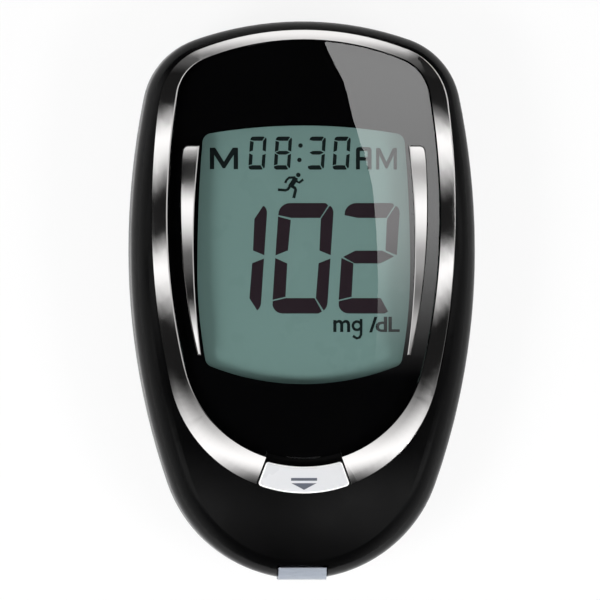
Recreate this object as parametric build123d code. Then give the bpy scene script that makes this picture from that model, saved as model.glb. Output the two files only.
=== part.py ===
from build123d import *
import os
from dataclasses import dataclass
from functools import lru_cache
from math import asin, atan2, cos, hypot, sin, sqrt

# Handheld blood glucose meter, lying on its back with the display up. +Z comes out of the display,
# +Y points to the top end and +X to the right-hand side. The origin is under the middle of the body,
# on the surface that the meter lies on. All sizes are in millimetres.

# ---------------------------------------------------------------- overall body
body_length = 87.4  # over the port bezel
body_width = 53.9
body_thickness = 17.5  # to the highest point of the lens
body_widest_above_centre = 7.8
body_top_radius = 50.5
body_corner_radius = 12.0
body_side_radius = 121.0
body_bottom_narrowing = 4.95  # half the width less the radius of the bottom arc
side_wall = 1.8
front_wall = 2.6
floor_thickness = 1.5
front_edge_radius = 3.8
back_edge_radius = 3.0
parting_height = 8.9
parting_groove_width = 0.16
parting_groove_depth = 0.25
lip_height = 1.2
lip_thickness = 0.8
lip_gap = 0.1
lip_root = 1.0  # how far the lip is rooted in the rear wall
seat_gap = 0.05  # between pieces that are seated in each other
join_depth = 0.2  # how far a boss or post is rooted in the wall that carries it
overrun = 1.0  # how far a cut runs past what it cuts

# ---------------------------------------------------------------- crowned front face
face_radius_along = 300.0
face_radius_across = 260.0
face_apex_above_centre = 6.0
nose_length = 21.7  # of the steeper stretch that runs down to the port
nose_tip_height = 12.0

# ---------------------------------------------------------------- bezel ring
ring_proud = 0.5
ring_bevel = 0.4
ring_top_border = 1.4  # from the top end of the body to the ring
ring_side_border = 3.15
ring_bottom_border = 13.6
ring_widest_above_centre = 13.0
ring_top_radius = 45.0
ring_corner_radius = 10.1
ring_side_radius = 140.0
ring_bottom_narrowing = 2.5
ring_top_width = 1.45
ring_side_width = 2.4
ring_bottom_width = 4.6
ring_inner_top_radius = 41.0
ring_inner_corner_radius = 6.8
ring_inner_side_radius = 118.0
ring_inner_bottom_narrowing = 2.3
face_pocket_depth = 1.5  # seat of the ring and the lens, below the crowned face

# ---------------------------------------------------------------- lens, mask and accent strips
lens_drop = 0.1
lens_thickness = 1.3
lens_bevel = 0.2
lens_lip = 0.7  # how far the lens stops short of the ring's inner line, above the release key
mask_thickness = 0.07
window_border = 4.75  # from the inside of the ring to the window, at the sides
window_head = 13.5  # from the inner top of the ring down to the window
window_foot = 12.35  # from the inner bottom of the ring up to the window
window_widest_below_top = 22.3
window_top_radius = 87.6
window_upper_side_radius = 235.0
window_lower_side_radius = 81.0
window_bottom_radius = 39.5
window_corner_radius = 1.5
strip_proud = 0.2
strip_seat = 0.65
strip_bevel = 0.15
strip_below_window_top = 3.15
strip_above_window_bottom = 4.55
strip_top_width = 2.5
strip_tip_width = 0.5
strip_top_inset = 0.25  # from the window's widest line inwards to the strip's inner top corner
strip_tip_inset = 0.5
strip_inner_bow = 1.05
strip_outer_bow = 1.35
strip_corner_radius = 0.9

# ---------------------------------------------------------------- release key and ejector
key_height = 4.15
key_past_ring = 0.1  # from the ring's bottom end to the key's bottom edge
key_top_width = 11.7
key_bottom_width = 14.4
key_top_radius = 20.8
key_bottom_radius = 20.5
key_corner_radius = 0.5
key_side_gap = 0.3
key_underside_gap = 0.15
key_thickness = 0.8
key_bevel = 0.22
key_travel = 2.2
key_gap_overrun = 3.0  # how far the gap for the key is cut past the ring at both ends
recess_depth = 1.2
recess_under_key = 0.45
stem_width = 6.0
stem_length = 1.2
stem_setback = 0.5  # from the key's top edge to the stem
stem_gap = 0.15
ejector_width = 17.0
ejector_thickness = 1.2
ejector_below_wall = 0.45
ejector_ahead = 4.2  # of the key's middle, towards the port
ejector_behind = 4.4
ejector_rim = 0.6  # from the slide's front edge to its spring windows
finger_width = 1.6
finger_thickness = 1.0
finger_gap = 0.2  # between the finger at the end of its travel and what lies under it
spring_radius = 0.7
spring_wire_radius = 0.12
spring_length = 5.5
spring_turns = 7
spring_offset = 5.9
spring_end_gap = 0.05
spring_side_gap = 0.15
spring_post_length = 1.0
spring_post_width = 1.6
spring_post_gap = 0.25  # from the end of the window to the post
spring_post_drop = 0.15  # the post stops this much short of the slide's underside

# ---------------------------------------------------------------- test strip port
port_width = 7.7
port_depth = 2.05  # seen from the front, from the body's end inwards
port_proud = 0.1
port_top_below_face = 0.75
port_height = 4.9
port_edge_radius = 1.9
port_gap = 0.1
port_tongue_width = 6.8
port_tongue_length = 0.65
port_tongue_height = 1.9
slot_width = 6.0
slot_height = 0.7
slot_above_board = 0.9
slot_flare = 0.35

# ---------------------------------------------------------------- main board and what is on it
board_bottom = 5.4
board_thickness = 0.8
board_margin = 1.6  # from the inside of the wall to the board's edge
board_boss_gap = 0.3
connector_width = 9.2
connector_length = 8.0
connector_height = 2.0
strip_stop = 0.8  # thickness of the connector's end behind the strip
channel_width = 2.2
channel_floor = 0.3
channel_spare = 0.3  # room ahead of the ejector's finger at the end of its travel
contact_width = 0.5
contact_thickness = 0.14
contact_offsets = (1.6, 2.45)  # to either side of the middle
contact_gap = 0.06
contact_front = 1.2  # from the connector's front to the contacts
contact_rise = 0.45  # room for the contacts over the slot
contact_tail = 1.3
contact_tip_drop = 0.1
contact_touch = 1.0  # from the contact's front end to the bend that touches the strip
contact_touch_above_middle = 0.12
contact_level = 3.2  # from the contact's front end to its level stretch
controller_side = 7.0
amplifier_side = 5.0
amplifier_place = (-10.5, 7.0)  # from the controller
chip_thickness = 1.0
crystal_width = 1.5
crystal_length = 3.2
crystal_height = 0.8
crystal_place = (7.0, 7.0)  # from the controller
capacitor_length = 1.6
capacitor_width = 0.8
capacitor_count = 3
capacitor_pitch = 2.4
capacitor_x = 3.5
capacitor_above_frame = 2.5  # from the lower side of the frame's opening to the first pair
buzzer_radius = 4.5
buzzer_height = 1.5
buzzer_hole_radius = 0.75
buzzer_hole_depth = 0.75
buzzer_below_top = 9.3

# ---------------------------------------------------------------- display stack
lcd_beside_window = 0.85
lcd_above_window = 0.7
lcd_below_window = 1.2
lcd_glass_thickness = 1.0
lcd_ledge = 2.8  # strip of the front glass that carries the contacts
display_gap = 0.18  # between the display's highest corners and the front wall
reflector_thickness = 0.15
well_margin = 0.6
frame_wall = 1.2
frame_ledge = 1.5
frame_top_below_lcd = 0.3
frame_gap = 0.1
zebra_width = 1.8
zebra_side_margin = 2.0  # from the side of the display to the connector's end

# ---------------------------------------------------------------- battery, door and contacts
cell_diameter = 20.0
cell_thickness = 3.2
cell_step_diameter = 17.7
cell_step = 0.4
cell_gap = 0.3
cell_above_door = 0.1
battery_above_centre = 9.0
door_width = 24.0
door_length = 27.0
door_corner_radius = 4.0
door_gap = 0.15
door_inset = 0.3  # the door lies this much above the surface the meter lies on
tray_wall = 1.0
tray_clear_height = 1.1  # room above the door for its hooks
hook_width = 4.0
hook_offset = 7.0
hook_reach = 1.25
hook_leg = 1.1
hook_rise = 0.2
hook_thickness = 0.8
hook_room = 0.4
latch_width = 6.0
latch_height = 0.9
latch_thickness = 1.0
grip_radius = 4.5
grip_depth = 0.7
sheet_thickness = 0.2
negative_width = 4.0
negative_reach = 4.0  # to either side of the cell's middle
negative_pad = 2.0
positive_width = 5.0
positive_foot = 1.8
positive_side_gap = 0.2

# ---------------------------------------------------------------- side keys and switches
side_key_names = ("up", "set", "down")
side_key_pitch = 8.6
side_key_length = 6.4
side_key_height = 2.4
side_key_gap = 0.12
side_key_travel = 0.4
side_key_flange = 0.7
side_key_flange_margin = 0.5
side_key_flange_gap = 0.08
switch_depth = 3.0
switch_length = 4.6
switch_height = 1.6
switch_stand_off = 0.6
plunger_radius = 0.6
plunger_in_switch = 0.7
plunger_gap = 0.05
plunger_bore_spare = 0.2

# ---------------------------------------------------------------- screws, bosses and label
boss_radius = 3.0
front_boss_radius = 2.3
top_boss_from_wall = 5.82  # along X, from the inside of the wall to the boss's middle
top_boss_below_top = 10.9
bottom_boss_from_wall = 5.23
bottom_boss_above_end = 14.2
screw_head_radius = 1.7
screw_head_height = 1.1
screw_head_gap = 0.2
screw_head_edge = 0.35
screw_seat_height = 1.8
screw_radius = 0.85
screw_length = 10.0
screw_clearance = 0.2
screw_pilot_gap = 0.05
screw_tip_gap = 0.2
screw_tip_bevel = 0.4
screw_drive_length = 2.0
screw_drive_width = 0.5
screw_drive_depth = 0.5
post_radius = 1.5
post_x = 9.0
post_above_end = 7.6
label_width = 22.0
label_height = 13.0
label_above_centre = -17.0
label_corner_radius = 1.5
label_thickness = 0.15
label_recess = 0.25

# ---------------------------------------------------------------- places worked out from the sizes
body_top = body_length / 2
body_bottom = -body_length / 2 + port_proud
face_apex_z = body_thickness + lens_drop
board_top = board_bottom + board_thickness
cell_bottom = floor_thickness + cell_above_door
far_below = -1.0
far_above = body_thickness + 3.0


@dataclass(frozen=True)
class Egg:
    """Symmetric outline of tangent arcs: a top arc, two corners, side arcs that meet at the widest
    line, and a bottom arc. Without a lower side radius the side runs straight into the bottom arc."""

    top: float
    bottom: float
    half_width: float
    widest_y: float
    top_radius: float
    corner_radius: float
    side_radius: float
    bottom_radius: float
    lower_side_radius: float = 0.0

    def inset(self, by):
        """The same outline, this much further in all round, or further out if by is negative."""
        return Egg(
            self.top - by,
            self.bottom + by,
            self.half_width - by,
            self.widest_y,
            self.top_radius - by,
            self.corner_radius - by,
            self.side_radius - by,
            self.bottom_radius - by,
            self.lower_side_radius - by if self.lower_side_radius else 0.0,
        )

    def circles(self):
        """Each arc on the right as (centre x, centre y, radius), from the top down."""
        top_arc = (0.0, self.top - self.top_radius, self.top_radius)
        upper = (self.half_width - self.side_radius, self.widest_y, self.side_radius)
        bottom_arc = (0.0, self.bottom + self.bottom_radius, self.bottom_radius)
        radius = self.lower_side_radius or self.blending_radius()
        lower = (self.half_width - radius, self.widest_y, radius)
        found = [top_arc, rounded_corner(top_arc, upper, self.corner_radius), upper, lower]
        if self.lower_side_radius:
            found.append(rounded_corner(bottom_arc, lower, self.corner_radius))
        return found + [bottom_arc]

    def blending_radius(self):
        """Radius of the lower side arc that is tangent to the bottom arc."""
        down = self.widest_y - self.bottom - self.bottom_radius
        wide = self.half_width - self.bottom_radius
        return (self.half_width**2 + down**2 - self.bottom_radius**2) / (2 * wide)

    def joints(self):
        """Points on the right where one arc runs into the next."""
        circles = self.circles()
        found = []
        for first, second in zip(circles, circles[1:]):
            if first[1] == second[1]:
                found.append((self.half_width, self.widest_y))
            else:
                found.append(tangent_point(first, second))
        return found

    def face(self):
        circles, joints = self.circles(), self.joints()
        edges = [arc_between(circles[0], (-joints[0][0], joints[0][1]), joints[0])]
        for circle, start, end in zip(circles[1:-1], joints, joints[1:]):
            edges.append(arc_between(circle, start, end))
            mirrored = (-circle[0], circle[1], circle[2])
            edges.append(arc_between(mirrored, (-start[0], start[1]), (-end[0], end[1])))
        edges.append(arc_between(circles[-1], joints[-1], (-joints[-1][0], joints[-1][1])))
        return make_face(edges)

    def width_at(self, y):
        """Distance from the middle line to the outline at this height."""
        circles, joints = self.circles(), self.joints()
        place = sum(1 for joint in joints if y < joint[1])
        x, centre_y, radius = circles[place]
        return x + sqrt(radius**2 - (y - centre_y) ** 2)


def rounded_corner(first, second, radius):
    """Circle of this radius that rounds the right-hand corner where two arcs meet."""
    reach, other_reach = first[2] - radius, second[2] - radius
    gap = hypot(second[0] - first[0], second[1] - first[1])
    ux, uy = (second[0] - first[0]) / gap, (second[1] - first[1]) / gap
    along = (reach**2 - other_reach**2 + gap**2) / (2 * gap)
    aside = sqrt(reach**2 - along**2)
    x, y = first[0] + along * ux, first[1] + along * uy
    return max((x + aside * uy, y - aside * ux), (x - aside * uy, y + aside * ux)) + (radius,)


def tangent_point(first, second):
    """Point where two circles touch, one inside the other."""
    big, small = (first, second) if first[2] > second[2] else (second, first)
    gap = hypot(small[0] - big[0], small[1] - big[1])
    scale = big[2] / gap
    return (big[0] + scale * (small[0] - big[0]), big[1] + scale * (small[1] - big[1]))


def arc_between(circle, start, end):
    """The shorter arc of a circle between two points on it."""
    x, y, radius = circle
    towards = ((start[0] + end[0]) / 2 - x, (start[1] + end[1]) / 2 - y)
    scale = radius / hypot(*towards)
    return ThreePointArc(start, (x + scale * towards[0], y + scale * towards[1]), end)


# ---------------------------------------------------------------- outlines, seen from the front
body_outline = Egg(
    body_top,
    body_bottom,
    body_width / 2,
    body_widest_above_centre,
    body_top_radius,
    body_corner_radius,
    body_side_radius,
    body_width / 2 - body_bottom_narrowing,
)
ring_half_width = body_width / 2 - ring_side_border
ring_inner_half_width = ring_half_width - ring_side_width
ring_outline = Egg(
    body_top - ring_top_border,
    body_bottom + ring_bottom_border,
    ring_half_width,
    ring_widest_above_centre,
    ring_top_radius,
    ring_corner_radius,
    ring_side_radius,
    ring_half_width - ring_bottom_narrowing,
)
ring_inner_outline = Egg(
    ring_outline.top - ring_top_width,
    ring_outline.bottom + ring_bottom_width,
    ring_inner_half_width,
    ring_widest_above_centre,
    ring_inner_top_radius,
    ring_inner_corner_radius,
    ring_inner_side_radius,
    ring_inner_half_width - ring_inner_bottom_narrowing,
)
window_top = ring_inner_outline.top - window_head
window_bottom = ring_inner_outline.bottom + window_foot
window_half_width = ring_inner_half_width - window_border
window_outline = Egg(
    window_top,
    window_bottom,
    window_half_width,
    window_top - window_widest_below_top,
    window_top_radius,
    window_corner_radius,
    window_upper_side_radius,
    window_bottom_radius,
    window_lower_side_radius,
)
window_centre_y = (window_top + window_bottom) / 2

# ---------------------------------------------------------------- the crowned face
nose_start_y = body_bottom + nose_length
nose_start_angle = asin((face_apex_above_centre - nose_start_y) / face_radius_along)
nose_start_z = face_apex_z - face_radius_along * (1 - cos(nose_start_angle))
nose_mean_angle = atan2(nose_start_z - nose_tip_height, nose_length)
nose_end_angle = 2 * nose_mean_angle - nose_start_angle
nose_radius = nose_length / (sin(nose_end_angle) - sin(nose_start_angle))
face_centre = (face_apex_above_centre, face_apex_z - face_radius_along)
nose_centre = (
    nose_start_y + nose_radius * sin(nose_start_angle),
    nose_start_z - nose_radius * cos(nose_start_angle),
)
across_axis = Axis((0, 0, face_apex_z - face_radius_across), (0, 1, 0))
across_half_angle = 8.0
beyond_ends = 3.0  # how far the face is drawn past both ends of the body
on_face_tolerance = 0.01


def profile_height(y, depth=0.0):
    """Height of the face on the middle line at y, for the face moved this much inwards."""
    blend_y = face_centre[0] - (face_radius_along - depth) * sin(nose_start_angle)
    centre, radius = (face_centre, face_radius_along) if y > blend_y else (nose_centre, nose_radius)
    return centre[1] + sqrt((radius - depth) ** 2 - (y - centre[0]) ** 2)


def face_height(x, y, depth=0.0):
    """Height of the crowned face at x, y, for the face moved this much inwards."""
    axis_z = face_apex_z - face_radius_across
    return axis_z + sqrt((profile_height(y, depth) - axis_z) ** 2 - x**2)


@lru_cache(maxsize=None)
def below_face(depth=0.0):
    """Everything that lies under the crowned face moved this much inwards."""
    top_y, end_y = body_top + beyond_ends, body_bottom - beyond_ends
    blend_y = face_centre[0] - (face_radius_along - depth) * sin(nose_start_angle)

    def on_profile(y):
        return (y, profile_height(y, depth))

    upper = ThreePointArc(on_profile(top_y), on_profile((top_y + blend_y) / 2), on_profile(blend_y))
    lower = ThreePointArc(upper @ 1, on_profile((blend_y + end_y) / 2), on_profile(end_y))
    rest = Polyline(lower @ 1, (end_y, far_below), (top_y, far_below), upper @ 0)
    profile = Plane.YZ * make_face([upper, lower, *rest.edges()])
    turned = revolve(profile, across_axis, 2 * across_half_angle)
    return turned.rotate(across_axis, -across_half_angle)


def prism(face, low=far_below, high=far_above):
    return extrude(Pos(0, 0, low) * face, high - low)


def face_layer(face, upper_depth, lower_depth):
    """The part of the prism over a face that lies between two depths under the crowned face."""
    return (prism(face) & below_face(upper_depth)) - below_face(lower_depth)


def edges_on_face(solid, depth):
    """Edges of a solid that lie on the crowned face moved this much inwards."""
    return [
        edge
        for edge in solid.edges()
        if all(
            abs((edge @ t).Z - face_height((edge @ t).X, (edge @ t).Y, depth)) < on_face_tolerance
            for t in (0.1, 0.5, 0.9)
        )
    ]


def block(x, y, z):
    """Box given by its lowest and highest x, y and z."""
    size = (x[1] - x[0], y[1] - y[0], z[1] - z[0])
    middle = ((x[0] + x[1]) / 2, (y[0] + y[1]) / 2, (z[0] + z[1]) / 2)
    return Pos(*middle) * Box(*size)


def rod(x, y, radius, low, high):
    """Upright cylinder."""
    return Pos(x, y, (low + high) / 2) * Cylinder(radius, high - low)


def plate(width, length, corner, low, high, x=0.0, y=0.0):
    """Upright prism over a rounded rectangle."""
    return extrude(Pos(x, y, low) * RectangleRounded(width, length, corner), high - low)


def bent_sheet(points, width, thickness, x=0.0):
    """Sheet metal that follows points given as (y, z), this wide along X."""
    path = Plane.YZ * trace(Polyline(*points), thickness)
    return extrude(Pos(x - width / 2, 0, 0) * path, width)


# ---------------------------------------------------------------- places on the body
key_bottom_y = ring_outline.bottom - key_past_ring
key_top_y = key_bottom_y + key_height
key_middle_y = key_bottom_y + key_height / 2
key_angle = asin((nose_centre[0] - key_middle_y) / nose_radius)
slide_plane = Plane(
    origin=(0, key_middle_y, profile_height(key_middle_y)),
    x_dir=(1, 0, 0),
    z_dir=(0, -sin(key_angle), cos(key_angle)),
)
key_top_sag = key_top_radius - sqrt(key_top_radius**2 - (key_top_width / 2) ** 2)
key_bottom_sag = key_bottom_radius - sqrt(key_bottom_radius**2 - (key_bottom_width / 2) ** 2)
key_top_corner = (key_top_width / 2, key_top_y + key_top_sag)
key_bottom_corner = (key_bottom_width / 2, key_bottom_y + key_bottom_sag)
stem_high = key_height / 2 - stem_setback  # this and the next seven lie in the slide plane
stem_low = stem_high - stem_length
slide_upper = -front_wall - ejector_below_wall
slide_lower = slide_upper - ejector_thickness
spring_window_low = -ejector_ahead + ejector_rim
spring_post_low = spring_window_low + spring_post_gap
spring_low = spring_post_low + spring_post_length + spring_end_gap
spring_window_high = spring_low + spring_length + spring_end_gap
key_fall = key_travel * sin(key_angle)  # how far the slide sinks over its travel
slot_z = board_top + slot_above_board
port_low = slot_z + port_tongue_height / 2 - port_height / 2
port_inner_y = body_bottom + port_depth
connector_front_y = port_inner_y + port_tongue_length
connector_back_y = connector_front_y + connector_length
strip_end_y = connector_back_y - strip_stop
contact_x = [side * x for side in (-1, 1) for x in contact_offsets]
lcd_top_y = window_top + lcd_above_window
lcd_bottom_y = window_bottom - lcd_below_window
lcd_half_width = window_half_width + lcd_beside_window
zebra_half_length = lcd_half_width - zebra_side_margin
lcd_corner_heights = [face_height(lcd_half_width, y, front_wall) for y in (lcd_top_y, lcd_bottom_y)]
lcd_top_z = min(lcd_corner_heights) - display_gap
rear_glass_y = lcd_bottom_y + lcd_ledge
zebra_y = lcd_bottom_y + lcd_ledge / 2
battery_y = battery_above_centre
cell_top = cell_bottom + cell_thickness
door_hinge_y = battery_y + door_length / 2 - door_gap
hook_top = floor_thickness + hook_rise + hook_thickness
label_y = label_above_centre
inner_outline = body_outline.inset(side_wall)
boss_places = [
    (side * (inner_outline.width_at(y) - from_wall), y)
    for from_wall, y in (
        (top_boss_from_wall, body_top - top_boss_below_top),
        (bottom_boss_from_wall, body_bottom + bottom_boss_above_end),
    )
    for side in (-1, 1)
]
side_key_z = board_top + switch_height / 2
side_key_places = [
    (name, body_widest_above_centre + (1 - place) * side_key_pitch)
    for place, name in enumerate(side_key_names)
]


def key_face():
    """Outline of the release key: curved top and bottom, sides that spread towards the port."""
    (top_x, top_y), (bottom_x, bottom_y) = key_top_corner, key_bottom_corner
    top_edge = ThreePointArc((-top_x, top_y), (0, key_top_y), (top_x, top_y))
    bottom_edge = ThreePointArc((bottom_x, bottom_y), (0, key_bottom_y), (-bottom_x, bottom_y))
    sides = [Line(top_edge @ 1, bottom_edge @ 0), Line(bottom_edge @ 1, top_edge @ 0)]
    return make_face([top_edge, bottom_edge, *sides])


def key_gap_face():
    """The gap that the bezel ring leaves for the key, running past the ring at both ends."""
    (top_x, top_y), (bottom_x, bottom_y) = key_top_corner, key_bottom_corner
    spread = (bottom_x - top_x) / (top_y - bottom_y)
    aside = key_side_gap * hypot(1, spread)

    def half(y):
        return top_x + aside + spread * (top_y - y)

    high, low = top_y + key_gap_overrun, key_bottom_y - key_gap_overrun
    corners = [(-half(high), high), (half(high), high), (half(low), low), (-half(low), low)]
    return make_face(Polyline(*corners, close=True).edges())


lens_opening = ring_inner_outline.face()
lens_face = ring_inner_outline.inset(seat_gap).face() - (
    key_gap_face() - ring_inner_outline.inset(lens_lip).face()
)


def body_solid():
    """The closed outer form of the meter, without ring or port."""
    solid = prism(body_outline.face(), 0, far_above) & below_face(0)
    solid = fillet(edges_on_face(solid, 0), front_edge_radius)
    bottom_edges = solid.edges().group_by(Axis.Z)[0]
    return fillet(bottom_edges, back_edge_radius)


outer_body = body_solid()
inner_space = prism(inner_outline.face(), floor_thickness) & below_face(front_wall)
around_body = body_outline.inset(-overrun).face()
above_parting = prism(around_body, parting_height)
below_parting = prism(around_body, far_below, parting_height)
port_notch = block(
    (-port_width / 2 - port_gap, port_width / 2 + port_gap),
    (body_bottom - overrun, port_inner_y + port_gap),
    (port_low - port_gap, far_above),
)
parting_groove = prism(
    around_body - body_outline.inset(parting_groove_depth).face(),
    parting_height - parting_groove_width / 2,
    parting_height + parting_groove_width / 2,
)


def stem_slot():
    """Slot through the front wall in which the key's stem slides."""
    half = stem_width / 2 + stem_gap
    along = (stem_low - key_travel - stem_gap, stem_high + stem_gap)
    return slide_plane * block((-half, half), along, (slide_lower, key_thickness))


def spring_post(side):
    """Post under the front wall that the ejector spring pushes against."""
    middle = side * spring_offset
    return slide_plane * block(
        (middle - spring_post_width / 2, middle + spring_post_width / 2),
        (spring_post_low, spring_post_low + spring_post_length),
        (slide_lower + spring_post_drop, join_depth - front_wall),
    )


def front_housing():
    shell = (outer_body & above_parting) - inner_space
    rebate = inner_outline.inset(-lip_thickness - lip_gap).face()
    shell -= prism(rebate, far_below, parting_height + lip_height + lip_gap)
    pilot_top = screw_seat_height + screw_length + screw_tip_gap
    for x, y in boss_places:
        boss = rod(x, y, front_boss_radius, parting_height, far_above)
        shell += boss & below_face(front_wall - join_depth)
        shell -= rod(x, y, screw_radius + screw_pilot_gap, far_below, pilot_top)
    key_gap = key_gap_face() - lens_face
    pocket = ring_outline.inset(-seat_gap).face() - key_gap
    shell -= prism(pocket) - below_face(face_pocket_depth)
    recess_reach = key_height + key_gap_overrun
    recess_middle_y = key_top_y - recess_under_key + recess_reach
    recess = key_gap & Pos(0, recess_middle_y) * Rectangle(body_width, 2 * recess_reach)
    shell -= prism(recess) - below_face(recess_depth)
    shell -= prism(window_outline.inset(-well_margin).face())
    shell -= stem_slot()
    for side in (-1, 1):
        shell += spring_post(side)
    return shell - port_notch - parting_groove


def bezel_ring():
    outline = ring_outline.face() - lens_opening - key_gap_face()
    ring = face_layer(outline, -ring_proud, face_pocket_depth)
    return chamfer(edges_on_face(ring, -ring_proud), ring_bevel)


def strip_face(side, grow=0.0):
    """Crescent beside the window: wide and round-cornered at the top, running out to a tip.
    It is this much larger all round if grow is given."""
    top = window_top - strip_below_window_top
    tip = window_bottom + strip_above_window_bottom
    inner_top = (window_half_width - strip_top_inset, top)
    inner_tip = (window_half_width - strip_tip_inset, tip)
    outer_top = (inner_top[0] + strip_top_width, top)
    outer_tip = (inner_tip[0] + strip_tip_width, tip)
    middle_y = (top + tip) / 2
    inner_middle = ((inner_top[0] + inner_tip[0]) / 2 + strip_inner_bow, middle_y)
    outer_middle = ((outer_top[0] + outer_tip[0]) / 2 + strip_outer_bow, middle_y)
    edges = [
        ThreePointArc(inner_top, inner_middle, inner_tip),
        Line(inner_tip, outer_tip),
        ThreePointArc(outer_tip, outer_middle, outer_top),
        Line(outer_top, inner_top),
    ]
    face = make_face(edges)
    face = fillet(face.vertices().sort_by_distance(outer_top)[0], strip_corner_radius)
    if grow:
        face = offset(face, grow)
    return face if side > 0 else mirror(face, Plane.YZ)


def accent_strip(side):
    strip = face_layer(strip_face(1), -strip_proud, strip_seat)
    strip = chamfer(edges_on_face(strip, -strip_proud), strip_bevel)
    return strip if side > 0 else mirror(strip, Plane.YZ)


def window_lens():
    lens = face_layer(lens_face, lens_drop, lens_drop + lens_thickness)
    lens = chamfer(edges_on_face(lens, lens_drop), lens_bevel)
    for side in (-1, 1):
        lens -= prism(strip_face(side, seat_gap)) - below_face(strip_seat)
    return lens


def lens_mask():
    outline = lens_face - window_outline.face()
    return face_layer(outline, face_pocket_depth - mask_thickness, face_pocket_depth)


def release_button():
    top_depth = -(key_underside_gap + key_thickness)
    key = face_layer(fillet(key_face().vertices(), key_corner_radius), top_depth, -key_underside_gap)
    key = chamfer(edges_on_face(key, top_depth), key_bevel)
    stem = block(
        (-stem_width / 2, stem_width / 2),
        (stem_low, stem_high),
        (slide_lower, key_underside_gap + key_thickness / 2),
    )
    return key + slide_plane * stem


def ejector_slide():
    """Plate under the front wall with a window for each spring, and an arm whose finger reaches
    down behind the test strip."""
    upper_and_lower = (slide_lower, slide_upper)
    cut_through = (slide_lower - overrun, slide_upper + overrun)
    half = ejector_width / 2
    slide = block((-half, half), (-ejector_ahead, ejector_behind), upper_and_lower)
    slide -= block((-stem_width / 2, stem_width / 2), (stem_low, stem_high), cut_through)
    half = spring_radius + spring_wire_radius + spring_side_gap
    for middle in (-spring_offset, spring_offset):
        window = (spring_window_low, spring_window_high)
        slide -= block((middle - half, middle + half), window, cut_through)
    finger_x = (-finger_width / 2, finger_width / 2)
    arm = slide_plane * block(finger_x, (-body_length, -ejector_ahead + ejector_rim), upper_and_lower)
    arm &= block(finger_x, (strip_end_y, body_top), (0, far_above))
    finger_y = (strip_end_y, strip_end_y + finger_thickness)
    finger_low = board_top + channel_floor + key_fall + finger_gap
    finger = block(finger_x, finger_y, (finger_low, far_above))
    under_slide = block(finger_x, (-body_length, body_length), (-body_length, slide_upper))
    return slide_plane * slide + arm + (finger & slide_plane * under_slide)


def ejector_spring(side):
    coil_length = spring_length - 2 * spring_wire_radius
    coil = Helix(coil_length / spring_turns, coil_length, spring_radius)
    wire = sweep(Plane(coil @ 0, z_dir=coil % 0) * Circle(spring_wire_radius), coil, is_frenet=True)
    place = (side * spring_offset, spring_low + spring_wire_radius, (slide_upper + slide_lower) / 2)
    return slide_plane * Pos(*place) * Rot(-90, 0, 0) * wire


def port_bezel():
    high = profile_height(port_inner_y) - port_top_below_face
    half = port_width / 2
    front = -body_length / 2
    body = block((-half, half), (front, port_inner_y), (port_low, high))
    front_edges = body.edges().filter_by(Axis.X).group_by(Axis.Y)[0]
    body = fillet(front_edges.sort_by(Axis.Z)[-1], port_edge_radius)
    tongue = block(
        (-port_tongue_width / 2, port_tongue_width / 2),
        (port_inner_y, connector_front_y),
        (slot_z - port_tongue_height / 2, slot_z + port_tongue_height / 2),
    )
    slot = block(
        (-slot_width / 2, slot_width / 2),
        (front - overrun, connector_front_y + overrun),
        (slot_z - slot_height / 2, slot_z + slot_height / 2),
    )
    mouth = Rectangle(slot_width + 2 * slot_flare, slot_height + 2 * slot_flare)
    mouth = Plane.XZ.offset(-front) * mouth
    mouth = extrude(Pos(0, 0, slot_z) * mouth, -slot_flare, taper=45)
    return body + tongue - slot - mouth


# ---------------------------------------------------------------- strip connector
def strip_connector():
    high = board_top + connector_height
    body = block(
        (-connector_width / 2, connector_width / 2),
        (connector_front_y, connector_back_y),
        (board_top, high),
    )
    slot = block(
        (-slot_width / 2, slot_width / 2),
        (connector_front_y - overrun, strip_end_y),
        (slot_z - slot_height / 2, slot_z + slot_height / 2),
    )
    channel = block(
        (-channel_width / 2, channel_width / 2),
        (strip_end_y - key_travel - channel_spare, connector_back_y + overrun),
        (board_top + channel_floor, high + overrun),
    )
    body -= slot + channel
    groove = contact_width + 2 * contact_gap
    for x in contact_x:
        body -= block(
            (x - groove / 2, x + groove / 2),
            (connector_front_y + contact_front, connector_back_y + overrun),
            (slot_z, slot_z + slot_height / 2 + contact_rise + contact_gap),
        )
        body -= block(
            (x - groove / 2, x + groove / 2),
            (strip_end_y, connector_back_y + overrun),
            (board_top - overrun, slot_z + slot_height / 2),
        )
    return body


def strip_contacts():
    half = contact_thickness / 2
    front_y = connector_front_y + contact_front + 3 * contact_gap
    upper_z = slot_z + slot_height / 2 + contact_rise - half
    points = [
        (front_y, upper_z - contact_tip_drop),
        (front_y + contact_touch, slot_z + contact_touch_above_middle),
        (front_y + contact_level, upper_z),
        (connector_back_y + contact_gap + half, upper_z),
        (connector_back_y + contact_gap + half, board_top + half),
        (connector_back_y + contact_tail, board_top + half),
    ]
    return [bent_sheet(points, contact_width, contact_thickness, x) for x in contact_x]


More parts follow.
